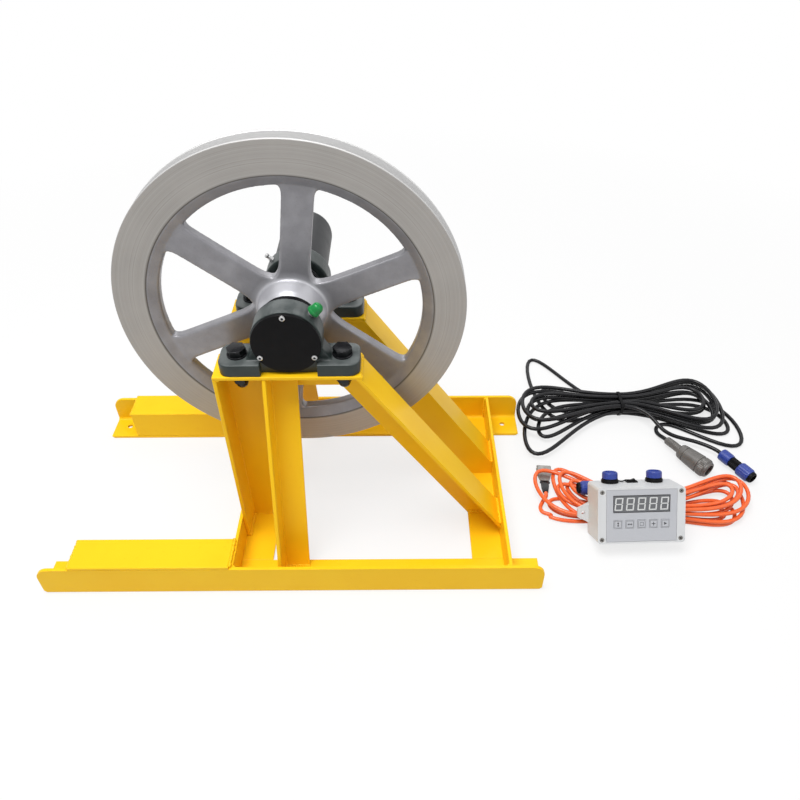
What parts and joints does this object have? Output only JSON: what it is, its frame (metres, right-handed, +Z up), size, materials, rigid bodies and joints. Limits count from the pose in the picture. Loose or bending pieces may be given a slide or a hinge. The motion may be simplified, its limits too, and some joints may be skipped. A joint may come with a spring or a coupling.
{
  "type": "well depth recorder",
  "caption": "Grooved measuring wheel in pillow blocks on a welded angle-steel stand, with an encoder, a leaning control box and two cable hanks.",
  "frame": {"origin": "on the floor, under the middle of the box round the stand and the control box, without the free cables", "axes": "+X along the base angles towards the control box, +Y to the rear, away from the front end cover, +Z up"},
  "size_m": [0.8837, 0.4218, 0.4652],
  "materials": {
    "yellow_paint": "glossy, sprayed",
    "green_iron": "semi-gloss over a casting",
    "bearing_steel": "ground",
    "black_plastic": "satin",
    "zinc_steel": "zinc plated",
    "green_plastic": "glossy",
    "black_steel": "black oxide",
    "cast_aluminium": "as cast, rim turned",
    "white_plastic": "fine texture",
    "grey_overlay": "film",
    "display_window": "smoked",
    "circuit_board": "solder mask",
    "blue_plastic": "satin",
    "grey_plastic": "satin",
    "black_cable": "satin sheath",
    "orange_cable": "satin sheath",
    "clip_steel": "bent sheet"
  },
  "bodies": {
    "recorder": {"battery_clip": "clip_steel", "black_cable_hank": "black_cable", "black_cable_tie": "black_plastic", "blue_plug": "blue_plastic", "circuit_board": "circuit_board", "control_box_base": "white_plastic", "control_box_lid": "white_plastic", "display_module": "display_window", "encoder_body": "black_plastic", "encoder_cover": "green_iron", "front_base_angle": "yellow_paint", "front_bearing_housing": "green_iron", "front_bearing_outer_ring": "bearing_steel", "front_box_cover": "yellow_paint", "front_end_cover": "black_plastic", "front_frame_leg": "yellow_paint", "front_frame_stay": "yellow_paint", "front_frame_strut": "yellow_paint", "front_grease_nipple": "zinc_steel", "front_left_bolt": "black_steel", "front_left_nut": "black_steel", "front_right_bolt": "black_steel", "front_right_nut": "black_steel", "front_top_angle": "yellow_paint", "grease_nipple_cap": "green_plastic", "grey_plug": "grey_plastic", "keypad_overlay": "grey_overlay", "left_cross_angle": "yellow_paint", "left_socket": "black_plastic", "left_socket_cap": "blue_plastic", "orange_lead_hank": "orange_cable", "orange_lead_plug": "blue_plastic", "rear_base_angle": "yellow_paint", "rear_bearing_housing": "green_iron", "rear_bearing_outer_ring": "bearing_steel", "rear_box_cover": "yellow_paint", "rear_frame_leg": "yellow_paint", "rear_frame_stay": "yellow_paint", "rear_frame_strut": "yellow_paint", "rear_grease_nipple": "zinc_steel", "rear_left_bolt": "black_steel", "rear_left_nut": "black_steel", "rear_right_bolt": "black_steel", "rear_right_nut": "black_steel", "rear_top_angle": "yellow_paint", "right_cross_angle": "yellow_paint", "right_socket": "black_plastic", "right_socket_cap": "blue_plastic", "rocker_switch_body": "black_plastic"},
    "rotor": {"measuring_wheel": "cast_aluminium", "wheel_shaft": "bearing_steel", "front_bearing_inner_ring": "bearing_steel", "rear_bearing_inner_ring": "bearing_steel", "encoder_coupling": "cast_aluminium"},
    "key_1": {"key_1": "grey_overlay"},
    "key_2": {"key_2": "grey_overlay"},
    "key_3": {"key_3": "grey_overlay"},
    "key_4": {"key_4": "grey_overlay"},
    "key_5": {"key_5": "grey_overlay"},
    "rocker": {"rocker_switch": "black_plastic"}
  },
  "joints": [
    {"name": "wheel_turn", "type": "hinge", "parent": "recorder", "child": "rotor", "pos_m": [-0.07765, -0.0065, 0.2875], "axis": [0, 1, 0], "continuous": true},
    {"name": "key_1_press", "type": "slide", "parent": "recorder", "child": "key_1", "axis": [-0.0228, 0.8178, -0.575], "range_m": [0, 0.0005], "stiffness_N_per_m": 2000, "springref_m": -0.0003},
    {"name": "key_2_press", "type": "slide", "parent": "recorder", "child": "key_2", "axis": [-0.0228, 0.8178, -0.575], "range_m": [0, 0.0005], "stiffness_N_per_m": 2000, "springref_m": -0.0003},
    {"name": "key_3_press", "type": "slide", "parent": "recorder", "child": "key_3", "axis": [-0.0228, 0.8178, -0.575], "range_m": [0, 0.0005], "stiffness_N_per_m": 2000, "springref_m": -0.0003},
    {"name": "key_4_press", "type": "slide", "parent": "recorder", "child": "key_4", "axis": [-0.0228, 0.8178, -0.575], "range_m": [0, 0.0005], "stiffness_N_per_m": 2000, "springref_m": -0.0003},
    {"name": "key_5_press", "type": "slide", "parent": "recorder", "child": "key_5", "axis": [-0.0228, 0.8178, -0.575], "range_m": [0, 0.0005], "stiffness_N_per_m": 2000, "springref_m": -0.0003},
    {"name": "rocker_tilt", "type": "hinge", "parent": "recorder", "child": "rocker", "pos_m": [0.30716, -0.04533, 0.0609], "axis": [-0.0228, 0.8178, -0.575], "range_deg": [0, 18]}
  ]
}
